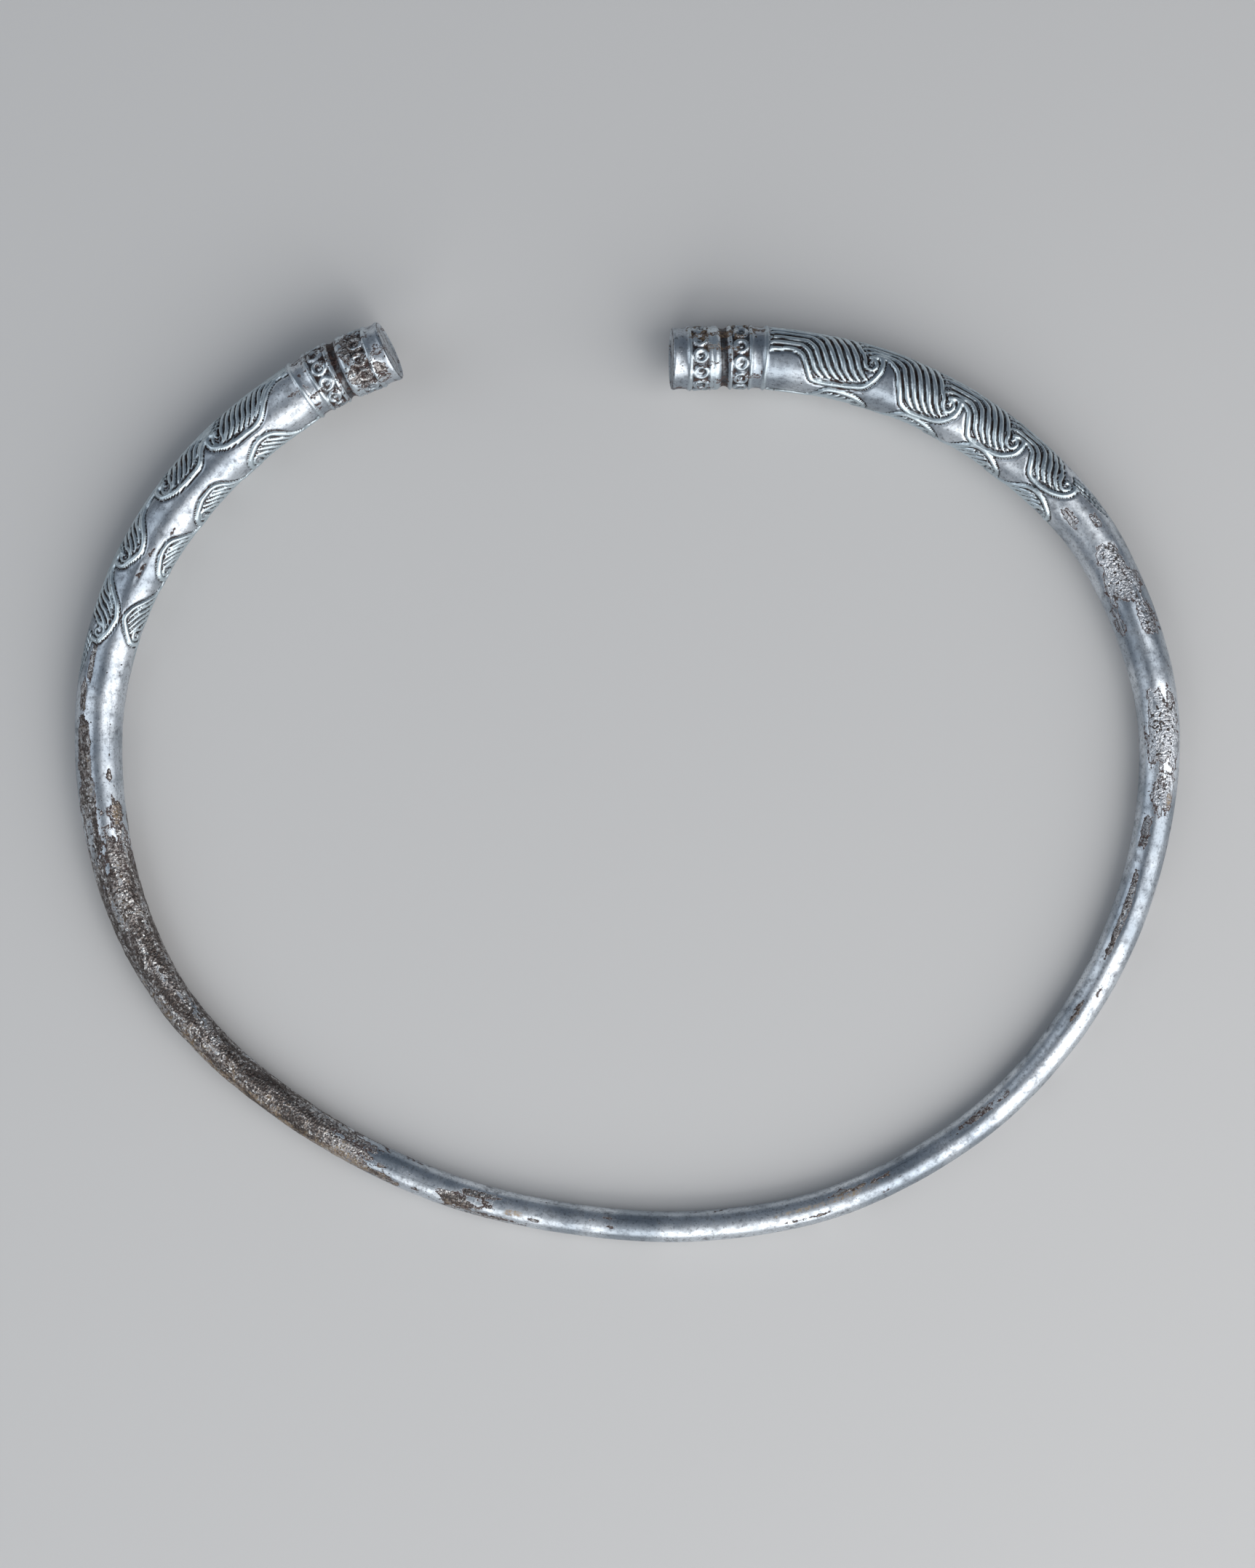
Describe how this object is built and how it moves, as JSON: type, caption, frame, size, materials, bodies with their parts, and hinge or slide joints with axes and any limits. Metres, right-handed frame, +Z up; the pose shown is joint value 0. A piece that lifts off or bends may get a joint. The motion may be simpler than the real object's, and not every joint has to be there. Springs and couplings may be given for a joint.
{
  "type": "silver torc",
  "caption": "Open neck ring of solid silver: a thin round back swells into two thick arms with ribbed running scrolls, each ending in a moulded collar.",
  "frame": {"origin": "middle of the torc's outline in plan, on the surface it lies on", "axes": "+X across the hoop, +Y towards the open ends, +Z up out of the surface it lies on"},
  "size_m": [0.1498, 0.1246, 0.0108],
  "materials": {
    "silver": "aged silver, polished on the high parts and grey-brown and pitted where it is corroded"
  },
  "bodies": {
    "root": {"torc": "silver"}
  },
  "joints": []
}
